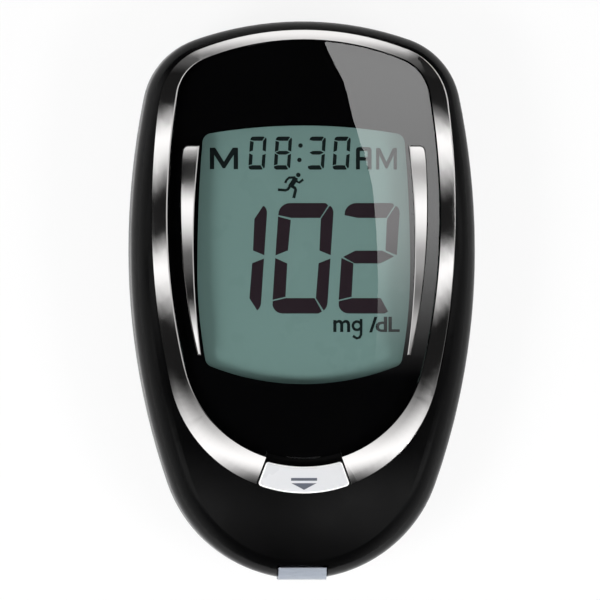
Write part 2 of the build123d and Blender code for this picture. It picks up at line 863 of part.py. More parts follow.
# ---------------------------------------------------------------- display stack
def display_frame():
    half, low_y, high_y = lcd_half_width, lcd_bottom_y, lcd_top_y
    rear_z = lcd_top_z - 2 * lcd_glass_thickness
    top_z = lcd_top_z - frame_top_below_lcd
    out = frame_wall + frame_gap
    frame = block((-half - out, half + out), (low_y - out, high_y + out), (board_top, top_z))
    frame -= block(
        (-half - frame_gap, half + frame_gap),
        (low_y - frame_gap, high_y + frame_gap),
        (rear_z, far_above),
    )
    frame -= block(
        (-half + frame_ledge, half - frame_ledge),
        (rear_glass_y + frame_ledge, high_y - frame_ledge),
        (far_below, far_above),
    )
    room = block(
        (-half - frame_gap, half + frame_gap),
        (rear_glass_y + frame_ledge, high_y + frame_gap),
        (far_below, rear_z - frame_wall),
    )
    zebra_slot = block(
        (-zebra_half_length - frame_gap, zebra_half_length + frame_gap),
        (zebra_y - zebra_width / 2 - frame_gap, zebra_y + zebra_width / 2 + frame_gap),
        (far_below, far_above),
    )
    return frame - room - zebra_slot


def lcd_cell():
    half = lcd_half_width
    middle = lcd_top_z - lcd_glass_thickness
    front = block((-half, half), (lcd_bottom_y, lcd_top_y), (middle, lcd_top_z))
    rear = block((-half, half), (rear_glass_y, lcd_top_y), (middle - lcd_glass_thickness, middle))
    return front + rear


def lcd_reflector():
    half = lcd_half_width - frame_ledge - frame_gap
    high = lcd_top_z - 2 * lcd_glass_thickness
    return block(
        (-half, half),
        (rear_glass_y + frame_ledge + frame_gap, lcd_top_y - frame_ledge - frame_gap),
        (high - reflector_thickness, high),
    )


def lcd_connector():
    return block(
        (-zebra_half_length, zebra_half_length),
        (zebra_y - zebra_width / 2, zebra_y + zebra_width / 2),
        (board_top, lcd_top_z - lcd_glass_thickness),
    )


# ---------------------------------------------------------------- main board
def main_board():
    board = prism(inner_outline.inset(board_margin).face(), board_bottom, board_top)
    for x, y in boss_places:
        board -= rod(x, y, boss_radius + board_boss_gap, 0, far_above)
    return board


def chip(x, y, width, length, height):
    """Component that stands on the board."""
    return Pos(x, y, board_top + height / 2) * Box(width, length, height)


def board_components():
    middle = window_centre_y
    parts = [chip(0, middle, controller_side, controller_side, chip_thickness)]
    x, y = amplifier_place
    parts.append(chip(x, middle + y, amplifier_side, amplifier_side, chip_thickness))
    x, y = crystal_place
    parts.append(chip(x, middle + y, crystal_width, crystal_length, crystal_height))
    for place in range(capacitor_count):
        y = rear_glass_y + frame_ledge + capacitor_above_frame + place * capacitor_pitch
        for x in (-capacitor_x, capacitor_x):
            parts.append(chip(x, y, capacitor_length, capacitor_width, capacitor_width))
    return parts


def buzzer():
    y, top = body_top - buzzer_below_top, board_top + buzzer_height
    can = rod(0, y, buzzer_radius, board_top, top)
    return can - rod(0, y, buzzer_hole_radius, top - buzzer_hole_depth, far_above)


# ---------------------------------------------------------------- battery
def coin_cell():
    can = rod(0, battery_y, cell_diameter / 2, cell_bottom, cell_top - cell_step)
    edges = can.edges().filter_by(GeomType.CIRCLE)
    can = fillet(edges.group_by(Axis.Z)[0], cell_step)
    return can + rod(0, battery_y, cell_step_diameter / 2, cell_top - cell_step, cell_top)


def battery_contact_negative():
    half = sheet_thickness / 2
    high = board_bottom - half
    points = [
        (battery_y - negative_reach, high),
        (battery_y + negative_reach, high),
        (battery_y + negative_reach, high - sheet_thickness),
        (battery_y, cell_top + half),
        (battery_y - negative_pad, cell_top + half),
    ]
    return bent_sheet(points, negative_width, sheet_thickness)


def battery_contact_positive():
    x = cell_diameter / 2 + sheet_thickness / 2
    spring = block(
        (x - sheet_thickness / 2, x + sheet_thickness / 2),
        (battery_y - positive_width / 2, battery_y + positive_width / 2),
        (cell_bottom + cell_step, board_bottom),
    )
    foot = block(
        (x, x + positive_foot),
        (battery_y - positive_width / 2, battery_y + positive_width / 2),
        (board_bottom - sheet_thickness, board_bottom),
    )
    return spring + foot


def hook_range(side):
    return (side * hook_offset - hook_width / 2, side * hook_offset + hook_width / 2)


def battery_door():
    width, length = door_width - 2 * door_gap, door_length - 2 * door_gap
    corner = door_corner_radius - door_gap
    door = plate(width, length, corner, door_inset, floor_thickness, 0, battery_y)
    leg_y = door_hinge_y - hook_leg
    for side in (-1, 1):
        hook_x = hook_range(side)
        door += block(hook_x, (leg_y, door_hinge_y), (floor_thickness, hook_top))
        hook = block(hook_x, (leg_y, door_hinge_y + hook_reach), (floor_thickness + hook_rise, hook_top))
        door += hook
    free_edge = battery_y - length / 2
    latch = block(
        (-latch_width / 2, latch_width / 2),
        (free_edge, free_edge + latch_thickness),
        (floor_thickness, floor_thickness + latch_height),
    )
    return door + latch


# ---------------------------------------------------------------- rear housing
def battery_tray():
    """Walls round the door's opening, closed over the door except for the cell's bore."""
    tray = plate(
        door_width + 2 * tray_wall,
        door_length + 2 * tray_wall,
        door_corner_radius + tray_wall,
        floor_thickness,
        board_bottom,
        0,
        battery_y,
    )
    tray -= rod(0, battery_y, cell_diameter / 2 + cell_gap, far_below, far_above)
    clear = floor_thickness + tray_clear_height
    tray -= plate(door_width, door_length, door_corner_radius, far_below, clear, 0, battery_y)
    for side in (-1, 1):
        low, high = hook_range(side)
        tray -= block(
            (low - hook_room, high + hook_room),
            (door_hinge_y - hook_leg - hook_room, door_hinge_y + hook_reach + hook_room),
            (far_below, hook_top + hook_room),
        )
    x = cell_diameter / 2
    half = positive_width / 2 + positive_side_gap
    contact_y = (battery_y - half, battery_y + half)
    foot_x = (x, x + positive_foot + cell_gap + sheet_thickness)
    tray -= block((x, x + 2 * sheet_thickness + cell_gap), contact_y, (far_below, far_above))
    tray -= block(foot_x, contact_y, (board_bottom - sheet_thickness, far_above))
    return tray


def side_key_face(grow=0.0):
    """Round-ended key as seen from the right, this much larger all round if grow is given."""
    return SlotOverall(side_key_length + 2 * grow, side_key_height + 2 * grow)


def across_wall(face, y, from_x, to_x):
    """Prism along X over a face that is drawn as seen from the right, at this y and key height."""
    placed = Plane(origin=(from_x, y, side_key_z), x_dir=(0, 1, 0), z_dir=(1, 0, 0)) * face
    return extrude(placed, to_x - from_x)


def rear_housing():
    shell = (outer_body & below_parting) - inner_space
    lip = body_outline.inset(side_wall - lip_thickness).face() - inner_outline.face()
    shell += prism(lip, parting_height - lip_root, parting_height + lip_height)
    shell -= plate(door_width, door_length, door_corner_radius, far_below, floor_thickness, 0, battery_y)
    for x, y in boss_places:
        shell += rod(x, y, boss_radius, floor_thickness / 2, parting_height)
    for x in (-post_x, post_x):
        shell += rod(x, body_bottom + post_above_end, post_radius, floor_thickness / 2, board_bottom)
    shell += battery_tray()
    for x, y in boss_places:
        shell -= rod(x, y, screw_head_radius + screw_head_gap, far_below, screw_seat_height)
        shell -= rod(x, y, screw_radius + screw_clearance, far_below, far_above)
    for _, y in side_key_places:
        inside = inner_outline.width_at(y) - overrun
        shell -= across_wall(side_key_face(side_key_gap), y, inside, body_width)
    shell -= plate(
        label_width + 2 * seat_gap,
        label_height + 2 * seat_gap,
        label_corner_radius,
        far_below,
        label_recess,
        0,
        label_y,
    )
    shell -= rod(0, battery_y - door_length / 2, grip_radius, far_below, grip_depth)
    return shell - port_notch - parting_groove


def rear_label():
    low = label_recess - label_thickness
    return plate(label_width, label_height, label_corner_radius, low, label_recess, 0, label_y)


# ---------------------------------------------------------------- side keys and switches
def flange_inner_x(y):
    return inner_outline.width_at(y) - side_key_flange_gap - side_key_flange


def side_key(y):
    inner = flange_inner_x(y)
    cap = across_wall(side_key_face(), y, inner, body_width)
    cap &= prism(body_outline.face())
    flange = across_wall(side_key_face(side_key_flange_margin), y, inner, body_width)
    flange &= prism(inner_outline.inset(side_key_flange_gap).face())
    return cap + flange


def pin(y, radius, low_x, high_x):
    """Cylinder along X at key height."""
    middle = ((low_x + high_x) / 2, y, side_key_z)
    return Pos(*middle) * Rot(0, 90, 0) * Cylinder(radius, high_x - low_x)


def switch_plunger(y):
    key_x = flange_inner_x(y)
    return pin(y, plunger_radius, key_x - switch_stand_off - plunger_in_switch, key_x)


def side_switches():
    switches = []
    bore_depth = plunger_in_switch + side_key_travel + plunger_bore_spare
    for _, y in side_key_places:
        face_x = flange_inner_x(y) - switch_stand_off
        body = block(
            (face_x - switch_depth, face_x),
            (y - switch_length / 2, y + switch_length / 2),
            (board_top, board_top + switch_height),
        )
        bore = pin(y, plunger_radius + plunger_gap, face_x - bore_depth, face_x + overrun)
        switches.append(body - bore)
    return switches


# ---------------------------------------------------------------- screws
def case_screw(x, y):
    """Pan-headed screw with a cross drive, put in from the back."""
    seat, head_low = screw_seat_height, screw_seat_height - screw_head_height
    head = rod(x, y, screw_head_radius, head_low, seat)
    head = fillet(head.edges().group_by(Axis.Z)[0], screw_head_edge)
    shank = rod(x, y, screw_radius, seat, seat + screw_length)
    shank = chamfer(shank.edges().group_by(Axis.Z)[-1], screw_tip_bevel)
    arm = block(
        (-screw_drive_length / 2, screw_drive_length / 2),
        (-screw_drive_width / 2, screw_drive_width / 2),
        (far_below, head_low + screw_drive_depth),
    )
    screw = head + shank
    for turn in (0, 90):
        screw -= Pos(x, y) * Rot(0, 0, turn) * arm
    return screw


# ---------------------------------------------------------------- all nodes
nodes = {
    "front_housing": front_housing(),
    "rear_housing": rear_housing(),
    "bezel_ring": bezel_ring(),
    "window_lens": window_lens(),
    "lens_mask": lens_mask(),
    "accent_strip_left": accent_strip(-1),
    "accent_strip_right": accent_strip(1),
    "display_frame": display_frame(),
    "lcd_cell": lcd_cell(),
    "lcd_reflector": lcd_reflector(),
    "lcd_connector": lcd_connector(),
    "main_board": main_board(),
    "board_components": board_components(),
    "buzzer": buzzer(),
    "port_bezel": port_bezel(),
    "strip_connector": strip_connector(),
    "strip_contacts": strip_contacts(),
    "release_button": release_button(),
    "ejector_slide": ejector_slide(),
    "ejector_springs": [ejector_spring(side) for side in (-1, 1)],
    "side_switches": side_switches(),
    "coin_cell": coin_cell(),
    "battery_contact_positive": battery_contact_positive(),
    "battery_contact_negative": battery_contact_negative(),
    "battery_door": battery_door(),
    "case_screws": [case_screw(x, y) for x, y in boss_places],
    "rear_label": rear_label(),
}
for name, y in side_key_places:
    nodes[f"side_key_{name}"] = side_key(y)
    nodes[f"switch_plunger_{name}"] = switch_plunger(y)

os.makedirs("parts", exist_ok=True)
for name, shape in nodes.items():
    if isinstance(shape, list):
        shape = Compound(children=shape)
    export_step(shape, f"parts/{name}.step")
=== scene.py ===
from math import cos, hypot, pi, radians, sin

import bpy
from mathutils import Matrix, Vector
from mathutils.kdtree import KDTree


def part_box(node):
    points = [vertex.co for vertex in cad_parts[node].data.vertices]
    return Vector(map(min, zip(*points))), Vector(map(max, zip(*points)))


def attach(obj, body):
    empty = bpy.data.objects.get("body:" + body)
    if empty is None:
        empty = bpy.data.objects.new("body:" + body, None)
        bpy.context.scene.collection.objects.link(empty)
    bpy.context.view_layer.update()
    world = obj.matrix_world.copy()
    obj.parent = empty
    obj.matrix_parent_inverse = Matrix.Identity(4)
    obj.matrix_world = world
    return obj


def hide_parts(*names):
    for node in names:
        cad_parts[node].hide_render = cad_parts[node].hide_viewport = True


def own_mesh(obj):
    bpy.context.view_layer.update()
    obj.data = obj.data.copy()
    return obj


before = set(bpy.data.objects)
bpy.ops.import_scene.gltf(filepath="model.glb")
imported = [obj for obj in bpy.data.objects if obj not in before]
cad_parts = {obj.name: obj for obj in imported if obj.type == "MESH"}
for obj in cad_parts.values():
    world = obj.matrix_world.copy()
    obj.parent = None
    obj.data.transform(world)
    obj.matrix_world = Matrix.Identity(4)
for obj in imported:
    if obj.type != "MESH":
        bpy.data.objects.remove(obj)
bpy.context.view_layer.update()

# A handheld blood glucose meter, lying on its back with the display up. +Z comes out of the display,
# +Y points to the top end and +X to the right-hand side. Blender works in metres, so sizes in
# millimetres are multiplied by mm.
mm = 0.001


# ---------------------------------------------------------------------------------- studio
# The meter lies on a pale sweep under a light tent. The tent is open round the lens of the camera,
# so the glossy front looks up into the dark, and its walls carry lit panels that the metal shows.
scene = bpy.context.scene
scene.view_settings.view_transform = "Standard"

camera_distance = 2.4
camera_yaw = radians(2.8)
frame_width = 94.01 * mm
sensor_width = 36.0
aim = Vector((-0.27 * mm, 0.094 * mm, 9.0 * mm))

camera_data = bpy.data.cameras.new("camera")
camera_data.sensor_width = sensor_width
camera_data.lens = sensor_width * camera_distance / frame_width
camera_data.clip_start = 0.05
camera_data.clip_end = 20.0
camera = bpy.data.objects.new("camera", camera_data)
camera.location = aim + camera_distance * Vector((-sin(camera_yaw), 0.0, cos(camera_yaw)))
camera.rotation_euler = (0.0, -camera_yaw, 0.0)
scene.collection.objects.link(camera)
scene.camera = camera


def new_material(name):
    """A material with nothing in it but its output, and the tools to fill it."""
    material = bpy.data.materials.new(name)
    material.use_nodes = True
    tree = material.node_tree
    tree.nodes.clear()
    output = tree.nodes.new("ShaderNodeOutputMaterial")
    return material, tree, output


def add(tree, kind, **settings):
    """A node of that kind, with its settings."""
    node = tree.nodes.new(kind)
    for name, value in settings.items():
        setattr(node, name, value)
    return node


def deselect():
    for thing in list(bpy.context.selected_objects):
        thing.select_set(False)


# World: the tent's cloth, dark overhead where the camera looks in and brighter towards the horizon.
world = bpy.data.worlds.new("light_tent")
scene.world = world
world.use_nodes = True
tree = world.node_tree
tree.nodes.clear()
world_out = add(tree, "ShaderNodeOutputWorld")
backdrop = add(tree, "ShaderNodeBackground")
backdrop.inputs["Color"].default_value = (1.0, 1.0, 1.0, 1.0)
backdrop.inputs["Strength"].default_value = 1.0
cloth = add(tree, "ShaderNodeBackground")
direction = add(tree, "ShaderNodeTexCoord")
split = add(tree, "ShaderNodeSeparateXYZ")
ramp = add(tree, "ShaderNodeValToRGB")
ramp.color_ramp.interpolation = "EASE"
# Sine of the height over the horizon, and share of the cloth's brightness.
tent_stops = ((0.0, 1.0), (0.1, 1.0), (0.31, 0.8), (0.5, 0.62), (0.64, 0.45), (0.77, 0.28),
              (0.88, 0.1), (0.95, 0.005), (1.0, 0.0))
tent_level = 1.3
stops = ramp.color_ramp.elements
while len(stops) < len(tent_stops):
    stops.new(0.5)
for stop, (place, level) in zip(stops, tent_stops):
    stop.position = place
    stop.color = (level, level, level, 1.0)
tree.links.new(direction.outputs["Generated"], split.inputs[0])
tree.links.new(split.outputs["Z"], ramp.inputs["Fac"])
tree.links.new(ramp.outputs["Color"], cloth.inputs["Color"])
# Round the horizon it is bright to both sides, with dark flags at the top corners and the foot.
turn = add(tree, "ShaderNodeMath", operation="ARCTAN2")
tree.links.new(split.outputs["Y"], turn.inputs[0])
tree.links.new(split.outputs["X"], turn.inputs[1])
round_share = add(tree, "ShaderNodeMapRange")
round_share.inputs["From Min"].default_value = -pi
round_share.inputs["From Max"].default_value = pi
tree.links.new(turn.outputs[0], round_share.inputs["Value"])
flags = add(tree, "ShaderNodeValToRGB")
# Bearing in degrees, counter-clockwise from +X, and share of the brightness.
flag_stops = ((-180, 1.0), (-125, 0.95), (-108, 0.12), (-90, 0.1), (-72, 0.15), (-55, 0.95),
              (-30, 0.95), (0, 0.8), (18, 0.4), (33, 0.08), (60, 0.03), (76, 0.04), (90, 0.85),
              (104, 0.45), (118, 0.04), (138, 0.08), (155, 0.95), (180, 1.0))
stops = flags.color_ramp.elements
while len(stops) < len(flag_stops):
    stops.new(0.5)
for stop, (bearing, level) in zip(stops, flag_stops):
    stop.position = (bearing + 180) / 360
    stop.color = (level, level, level, 1.0)
gain = add(tree, "ShaderNodeMath", operation="MULTIPLY")
gain.inputs[1].default_value = tent_level
tree.links.new(round_share.outputs["Result"], flags.inputs["Fac"])
tree.links.new(flags.outputs["Color"], gain.inputs[0])
tree.links.new(gain.outputs[0], cloth.inputs["Strength"])
seen = add(tree, "ShaderNodeLightPath")
either = add(tree, "ShaderNodeMath", operation="MAXIMUM")
mix = add(tree, "ShaderNodeMixShader")
tree.links.new(seen.outputs["Is Camera Ray"], either.inputs[0])
tree.links.new(seen.outputs["Is Transmission Ray"], either.inputs[1])
tree.links.new(either.outputs[0], mix.inputs["Fac"])
tree.links.new(cloth.outputs[0], mix.inputs[1])
tree.links.new(backdrop.outputs[0], mix.inputs[2])
tree.links.new(mix.outputs[0], world_out.inputs["Surface"])

# Floor: a pale sweep, lifted to white for the camera but keeping part of the meter's shadow.
floor_size = 8.0
floor_level = -0.1 * mm
floor_lift = 0.88
deselect()
bpy.ops.mesh.primitive_plane_add(size=floor_size, location=(0.0, 0.0, floor_level))
floor = bpy.context.object
floor.name = "floor"
material, tree, output = new_material("pale_floor")
paper = add(tree, "ShaderNodeBsdfDiffuse")
paper.inputs["Color"].default_value = (0.82, 0.82, 0.82, 1.0)
white = add(tree, "ShaderNodeEmission")
white.inputs["Color"].default_value = (1.0, 1.0, 1.0, 1.0)
white.inputs["Strength"].default_value = 1.0
lifted = add(tree, "ShaderNodeMixShader")
lift = add(tree, "ShaderNodeMath", operation="MULTIPLY")
lift.inputs[1].default_value = floor_lift
seen = add(tree, "ShaderNodeLightPath")
tree.links.new(seen.outputs["Is Camera Ray"], lift.inputs[0])
tree.links.new(lift.outputs[0], lifted.inputs["Fac"])
tree.links.new(paper.outputs[0], lifted.inputs[1])
tree.links.new(white.outputs[0], lifted.inputs[2])
# From underneath the camera looks through it, so the back of the meter can be seen.
geometry = add(tree, "ShaderNodeNewGeometry")
below = add(tree, "ShaderNodeMath", operation="MULTIPLY")
clear = add(tree, "ShaderNodeBsdfTransparent")
through = add(tree, "ShaderNodeMixShader")
tree.links.new(geometry.outputs["Backfacing"], below.inputs[0])
tree.links.new(seen.outputs["Is Camera Ray"], below.inputs[1])
# It is cut out under the meter, so light reaches the meter's back from below.
footprint = (24 * mm, 40 * mm, 1.0)
floor_place = add(tree, "ShaderNodeTexCoord")
shares = add(tree, "ShaderNodeVectorMath", operation="DIVIDE")
shares.inputs[1].default_value = footprint
share = add(tree, "ShaderNodeVectorMath", operation="LENGTH")
under = add(tree, "ShaderNodeMath", operation="LESS_THAN")
under.inputs[1].default_value = 1.0
open_there = add(tree, "ShaderNodeMath", operation="MAXIMUM")
tree.links.new(floor_place.outputs["Object"], shares.inputs[0])
tree.links.new(shares.outputs[0], share.inputs[0])
tree.links.new(share.outputs["Value"], under.inputs[0])
tree.links.new(under.outputs[0], open_there.inputs[0])
tree.links.new(below.outputs[0], open_there.inputs[1])
tree.links.new(open_there.outputs[0], through.inputs["Fac"])
tree.links.new(lifted.outputs[0], through.inputs[1])
tree.links.new(clear.outputs[0], through.inputs[2])
tree.links.new(through.outputs[0], output.inputs["Surface"])
floor.data.materials.append(material)

# Two big soft lamps, one on each side and a little towards the foot, give the plain light that paint,
# print and the display show. They are polarised: nothing glossy mirrors them.
lamp_power = 45.0
lamp_size = 0.9
lamp_sideways = 0.9
lamp_footwards = -0.35
lamp_height = 1.25
for name, side in (("left_lamp", -1), ("right_lamp", 1)):
    lamp = bpy.data.lights.new(name, "AREA")
    lamp.shape = "DISK"
    lamp.size = lamp_size
    lamp.energy = lamp_power
    holder = bpy.data.objects.new(name, lamp)
    holder.location = (side * lamp_sideways, lamp_footwards, lamp_height)
    holder.rotation_euler = (-Vector(holder.location)).to_track_quat("-Z", "Y").to_euler()
    holder.visible_glossy = False
    scene.collection.objects.link(holder)

# Lit panels: they hang in one level over the meter, out of the camera's sight. Each has soft lit bars
# along its length, which give the bands in the chrome and the glare on the window.
panel_height = 0.6


def lit_panel(name, outline, levels, strength):
    """A flat panel with that outline in metres, lit along Y as its levels say."""
    deselect()
    bpy.ops.mesh.primitive_circle_add(vertices=len(outline), radius=1.0, fill_type="NGON")
    panel = bpy.context.object
    panel.name = name
    for corner, (x, y) in zip(panel.data.vertices, outline):
        corner.co = (x, y, panel_height)
    panel.visible_camera = False
    material, tree, output = new_material(name + "_light")
    place = add(tree, "ShaderNodeTexCoord")
    along = add(tree, "ShaderNodeSeparateXYZ")
    reach = add(tree, "ShaderNodeMapRange")
    low, high = levels[0][0] * mm, levels[-1][0] * mm
    reach.inputs["From Min"].default_value = low
    reach.inputs["From Max"].default_value = high
    fade = add(tree, "ShaderNodeValToRGB")
    fade.color_ramp.interpolation = "EASE"
    stops = fade.color_ramp.elements
    while len(stops) < len(levels):
        stops.new(0.5)
    for stop, (y, level) in zip(stops, levels):
        stop.position = (y * mm - low) / (high - low)
        stop.color = (level, level, level, 1.0)
    glow = add(tree, "ShaderNodeEmission")
    glow.inputs["Strength"].default_value = strength
    tree.links.new(place.outputs["Object"], along.inputs[0])
    tree.links.new(along.outputs["Y"], reach.inputs["Value"])
    tree.links.new(reach.outputs["Result"], fade.inputs["Fac"])
    tree.links.new(fade.outputs["Color"], glow.inputs["Color"])
    tree.links.new(glow.outputs[0], output.inputs["Surface"])
    panel.data.materials.append(material)


# Where along Y, in millimetres, each lit bar starts, is brightest and ends, with its share of the
# panel's strength there. Between the bars the cloth glows dimly.
dim = 0.01
ring_bars = ((-390, dim), (-280, 1.0), (-130, dim), (-80, dim), (-15, 1.0), (30, dim), (65, dim),
             (135, 1.0), (175, dim), (330, dim))
left_strip_bars = ((-140, 0.3), (-110, 1.0), (-50, dim), (0, 0.1), (60, 1.0), (85, dim), (100, dim),
                   (120, 1.0))
right_strip_bars = ((-140, 0.15), (-95, 0.45), (-50, 0.15), (0, 0.35), (60, 1.0), (95, 0.4),
                    (120, 1.0))
top_bars = ((330, dim), (500, 0.1), (700, 1.0), (900, 1.0))
glare_bars = ((-90, 0.0), (60, 0.85), (170, 1.0), (215, 1.0))
ring_light = 1.72
strip_light = 1.68
top_light = 1.5
glare_light = 2.5
ring_panel_foot, ring_panel_top = -0.36, 0.33
strip_panel_foot, strip_panel_top = -0.14, 0.125
top_panel_half_width, top_panel_end = 0.4, 0.9
# Towards their foot the ring panels reach inwards in steps, and further down beside the middle, so
# that both ends of the ring have light to show.
foot_steps = ((0.055, -0.22), (0.055, -0.243), (0.028, -0.25), (0.028, ring_panel_foot),
              (0.06, ring_panel_foot), (0.06, -0.4), (0.2, -0.4), (0.2, ring_panel_foot))
waist = -0.19
for side, near, far, out, strip_bars in ((-1, 0.11, 0.395, 0.75, left_strip_bars),
                                         (1, 0.165, 0.465, 0.85, right_strip_bars)):
    label = "left" if side < 0 else "right"
    ring_outline = (*foot_steps, (far, ring_panel_foot), (far, ring_panel_top),
                    (near, ring_panel_top), (near, waist))
    strip_outline = ((far, strip_panel_foot), (out, strip_panel_foot), (out, strip_panel_top),
                     (far, strip_panel_top))
    lit_panel("ring_panel_" + label, [(side * x, y) for x, y in ring_outline], ring_bars, ring_light)
    lit_panel("strip_panel_" + label, [(side * x, y) for x, y in strip_outline], strip_bars,
              strip_light)
lit_panel("top_panel", ((-top_panel_half_width, ring_panel_top), (top_panel_half_width, ring_panel_top),
                        (top_panel_half_width, top_panel_end), (-top_panel_half_width, top_panel_end)),
          top_bars, top_light)

# The glare on the window has a bowed edge, part of an ellipse. It is laid out on the crowned window
# and thrown up from there to the panels' level. Its far side is out of sight.
crown_middle = 6 * mm
crown_radius_along = 300 * mm
crown_radius_across = 260 * mm
window_level = 16.5 * mm
glare_middle = (-18.5 * mm, 2 * mm)
glare_half_width = 30 * mm
glare_half_length = 56 * mm
# From one end of the bow to the other.
glare_turns = [radians(46 - 5 * i) for i in range(16)]
glare_far_side = 0.155


def seen_in_window(x, y):
    """The place in the panels' level that the camera sees in the window at that place of it."""
    spot = Vector((x, y, window_level))
    outwards = Vector((x / crown_radius_across, (y - crown_middle) / crown_radius_along, 1.0))
    outwards.normalize()
    to_camera = (camera.location - spot).normalized()
    ray = 2 * outwards.dot(to_camera) * outwards - to_camera
    reach = (panel_height - spot.z) / ray.z
    return spot.x + reach * ray.x, spot.y + reach * ray.y


glare = [seen_in_window(glare_middle[0] + glare_half_width * cos(turn),
                        glare_middle[1] + glare_half_length * sin(turn)) for turn in glare_turns]
lit_panel("glare_panel", [*glare, (glare_far_side, glare[-1][1]), (glare_far_side, glare[0][1])],
          glare_bars, glare_light)


# ---------------------------------------------------------------------------------- housing
# Two shells moulded in black ABS with a fine satin texture, screwed together from the back. Where
# hands hold it the texture is polished a little.
def grain_group():
    """Moulded plastic: a fine spark texture and patches that handling has polished."""
    group = bpy.data.node_groups.new("moulded_grain", "ShaderNodeTree")
    sockets = group.interface
    for name, value in (("Grain per mm", 8.0), ("Depth", 0.2), ("Smooth", 0.3), ("Rough", 0.4)):
        asked = sockets.new_socket(name=name, in_out="INPUT", socket_type="NodeSocketFloat")
        asked.default_value = value
    sockets.new_socket(name="Roughness", in_out="OUTPUT", socket_type="NodeSocketFloat")
    sockets.new_socket(name="Normal", in_out="OUTPUT", socket_type="NodeSocketVector")
    given = add(group, "NodeGroupInput")
    result = add(group, "NodeGroupOutput")
    place = add(group, "ShaderNodeTexCoord")
    in_mm = add(group, "ShaderNodeVectorMath", operation="SCALE")
    in_mm.inputs["Scale"].default_value = 1.0 / mm
    fine = add(group, "ShaderNodeTexNoise")
    fine.inputs["Detail"].default_value = 2.0
    patches = add(group, "ShaderNodeTexNoise")
    patches.inputs["Scale"].default_value = 0.12
    patches.inputs["Detail"].default_value = 3.0
    spread = add(group, "ShaderNodeMapRange")
    spread.inputs["From Min"].default_value = 0.35
    spread.inputs["From Max"].default_value = 0.65
    bump = add(group, "ShaderNodeBump")
    bump.inputs["Distance"].default_value = 0.02 * mm
    link = group.links.new
    link(place.outputs["Object"], in_mm.inputs[0])
    link(in_mm.outputs[0], fine.inputs["Vector"])
    link(in_mm.outputs[0], patches.inputs["Vector"])
    link(given.outputs["Grain per mm"], fine.inputs["Scale"])
    link(patches.outputs["Fac"], spread.inputs["Value"])
    link(given.outputs["Smooth"], spread.inputs["To Min"])
    link(given.outputs["Rough"], spread.inputs["To Max"])
    link(fine.outputs["Fac"], bump.inputs["Height"])
    link(given.outputs["Depth"], bump.inputs["Strength"])
    link(spread.outputs["Result"], result.inputs["Roughness"])
    link(bump.outputs["Normal"], result.inputs["Normal"])
    return group


moulded_grain = grain_group()


def plastic(name, colour, smooth, rough, grain=8.0, depth=0.2, specular=0.5, metallic=0.0):
    """A moulded or plated surface with that grain per mm, polished and plain parts between those two
    roughnesses."""
    material, tree, output = new_material(name)
    skin = add(tree, "ShaderNodeBsdfPrincipled")
    skin.inputs["Base Color"].default_value = (*colour, 1.0)
    skin.inputs["Metallic"].default_value = metallic
    skin.inputs["Specular IOR Level"].default_value = specular
    grained = add(tree, "ShaderNodeGroup")
    grained.node_tree = moulded_grain
    grained.inputs["Grain per mm"].default_value = grain
    grained.inputs["Depth"].default_value = depth
    grained.inputs["Smooth"].default_value = smooth
    grained.inputs["Rough"].default_value = rough
    tree.links.new(grained.outputs["Roughness"], skin.inputs["Roughness"])
    tree.links.new(grained.outputs["Normal"], skin.inputs["Normal"])
    tree.links.new(skin.outputs[0], output.inputs["Surface"])
    return material


def finish(material, *names):
    """Gives CAD nodes their material."""
    for name in names:
        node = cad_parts[name]
        for holder in node.material_slots:
            holder.material = material


finish(plastic("satin_black_housing", (0.001, 0.001, 0.0011), 0.17, 0.23, specular=0.15),
       "front_housing", "rear_housing", "battery_door")

# ---------------------------------------------------------------------------------- bezel ring
# The C-shaped ring round the lens is moulded in ABS, plated in satin chrome and pressed into its seat.
# Its face falls away from the lens, so it shows the lit panels beside the meter.
merge_distance = 0.0005 * mm


def new_piece(name, node):
    """A new piece with a CAD node's mesh, its loose triangles merged, in edit mode."""
    deselect()
    piece = bpy.data.objects.new(name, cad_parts[node].data.copy())
    scene.collection.objects.link(piece)
    bpy.context.view_layer.objects.active = piece
    piece.select_set(True)
    bpy.ops.mesh.customdata_custom_splitnormals_clear()
    bpy.ops.object.mode_set(mode="EDIT")
    bpy.ops.mesh.select_mode(type="FACE")
    bpy.ops.mesh.select_all(action="SELECT")
    bpy.ops.mesh.remove_doubles(threshold=merge_distance)
    return piece


def pick_faces(piece, wanted):
    """Selects the faces whose centre and normal are wanted."""
    bpy.ops.object.mode_set(mode="OBJECT")
    for face in piece.data.polygons:
        face.select = wanted(face.center, face.normal)
    bpy.ops.object.mode_set(mode="EDIT")
    bpy.ops.mesh.select_mode(type="FACE")


def pick_edges(piece, wanted):
    """Selects the edges whose middle and whose faces' normals are wanted."""
    bpy.ops.object.mode_set(mode="EDIT")
    bpy.ops.mesh.select_mode(type="EDGE")
    bpy.ops.mesh.select_all(action="DESELECT")
    bpy.ops.object.mode_set(mode="OBJECT")
    beside = {}
    for face in piece.data.polygons:
        for key in face.edge_keys:
            beside.setdefault(key, []).append(face.normal.copy())
    found = piece.data.vertices
    for line in piece.data.edges:
        one, other = (found[i].co for i in line.vertices)
        line.select = wanted((one + other) / 2, beside.get(line.key, []))
    bpy.ops.object.mode_set(mode="EDIT")


crown_top = 17.6 * mm


def crown(x, y):
    """Height of the crowned front face over a place on it."""
    fall_along = (y - crown_middle) ** 2 / (2 * crown_radius_along)
    return crown_top - fall_along - x * x / (2 * crown_radius_across)


def smooth(piece, angle):
    """Smooth shading over all but its sharper edges."""
    deselect()
    piece.select_set(True)
    bpy.context.view_layer.objects.active = piece
    bpy.ops.object.shade_smooth_by_angle(angle=radians(angle))


def dress(piece, node, body, material):
    """The piece stands for that node, rides on its body and gets its finish."""
    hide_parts(node)
    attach(piece, body)
    piece.data.materials.clear()
    piece.data.materials.append(material)


